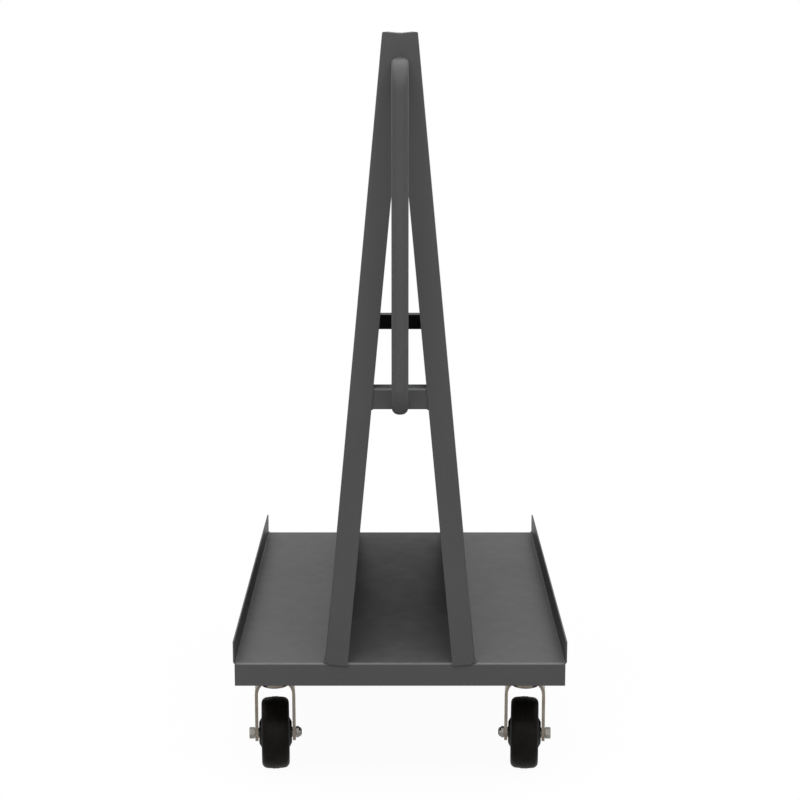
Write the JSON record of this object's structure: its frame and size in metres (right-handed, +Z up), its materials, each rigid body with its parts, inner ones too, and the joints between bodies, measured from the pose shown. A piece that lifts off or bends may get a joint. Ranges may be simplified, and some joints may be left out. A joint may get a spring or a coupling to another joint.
{
  "type": "sheet goods cart",
  "caption": "Steel cart for sheet goods: lipped deck, central A-frame of leaning side panels, upright push handle, swivel casters at the handle end, rigid casters at the other.",
  "frame": {"origin": "on the floor under the middle of the cart's overall box", "axes": "+X to the right seen from the handle end, +Y away from the handle end, +Z up"},
  "size_m": [0.61, 1.0046, 1.3789],
  "materials": {
    "grey_paint": "satin powder coat",
    "zinc": "zinc plated",
    "rubber": "moulded rubber",
    "black_plastic": "moulded"
  },
  "bodies": {
    "cart": {"deck_pan": "grey_paint", "front_bolster": "grey_paint", "rear_bolster": "grey_paint", "left_side_panel": "grey_paint", "right_side_panel": "grey_paint", "front_cross_angle": "grey_paint", "rear_cross_angle": "grey_paint", "push_handle": "grey_paint", "front_left_top_plate": "zinc", "front_left_king_bolt": "zinc", "front_left_king_nut": "zinc", "front_left_ball_race": "zinc", "front_left_plate_bolt_1": "zinc", "front_left_plate_bolt_2": "zinc", "front_left_plate_bolt_3": "zinc", "front_left_plate_bolt_4": "zinc", "front_right_top_plate": "zinc", "front_right_king_bolt": "zinc", "front_right_king_nut": "zinc", "front_right_ball_race": "zinc", "front_right_plate_bolt_1": "zinc", "front_right_plate_bolt_2": "zinc", "front_right_plate_bolt_3": "zinc", "front_right_plate_bolt_4": "zinc", "rear_left_fork": "zinc", "rear_left_axle_bolt": "zinc", "rear_left_axle_nut": "zinc", "rear_left_axle_sleeve": "zinc", "rear_left_plate_bolt_1": "zinc", "rear_left_plate_bolt_2": "zinc", "rear_left_plate_bolt_3": "zinc", "rear_left_plate_bolt_4": "zinc", "rear_right_fork": "zinc", "rear_right_axle_bolt": "zinc", "rear_right_axle_nut": "zinc", "rear_right_axle_sleeve": "zinc", "rear_right_plate_bolt_1": "zinc", "rear_right_plate_bolt_2": "zinc", "rear_right_plate_bolt_3": "zinc", "rear_right_plate_bolt_4": "zinc"},
    "front_left_swivel": {"front_left_fork": "zinc", "front_left_axle_bolt": "zinc", "front_left_axle_nut": "zinc", "front_left_axle_sleeve": "zinc"},
    "front_left_wheel": {"front_left_wheel_hub": "black_plastic", "front_left_tyre": "rubber"},
    "front_right_swivel": {"front_right_fork": "zinc", "front_right_axle_bolt": "zinc", "front_right_axle_nut": "zinc", "front_right_axle_sleeve": "zinc"},
    "front_right_wheel": {"front_right_wheel_hub": "black_plastic", "front_right_tyre": "rubber"},
    "rear_left_wheel": {"rear_left_wheel_hub": "black_plastic", "rear_left_tyre": "rubber"},
    "rear_right_wheel": {"rear_right_wheel_hub": "black_plastic", "rear_right_tyre": "rubber"}
  },
  "joints": [
    {"name": "front_left_swivel_turn", "type": "hinge", "parent": "cart", "child": "front_left_swivel", "pos_m": [-0.2395, -0.2625, 0.16], "axis": [0, 0, 1], "continuous": true},
    {"name": "front_left_wheel_spin", "type": "hinge", "parent": "front_left_swivel", "child": "front_left_wheel", "pos_m": [-0.23727, -0.29442, 0.068], "axis": [0.9976, 0.0698, 0], "continuous": true},
    {"name": "front_right_swivel_turn", "type": "hinge", "parent": "cart", "child": "front_right_swivel", "pos_m": [0.2395, -0.2625, 0.16], "axis": [0, 0, 1], "continuous": true},
    {"name": "front_right_wheel_spin", "type": "hinge", "parent": "front_right_swivel", "child": "front_right_wheel", "pos_m": [0.23727, -0.29442, 0.068], "axis": [0.9976, -0.0698, 0], "continuous": true},
    {"name": "rear_left_wheel_spin", "type": "hinge", "parent": "cart", "child": "rear_left_wheel", "pos_m": [-0.2395, 0.3475, 0.068], "axis": [1, 0, 0], "continuous": true},
    {"name": "rear_right_wheel_spin", "type": "hinge", "parent": "cart", "child": "rear_right_wheel", "pos_m": [0.2395, 0.3475, 0.068], "axis": [1, 0, 0], "continuous": true}
  ]
}
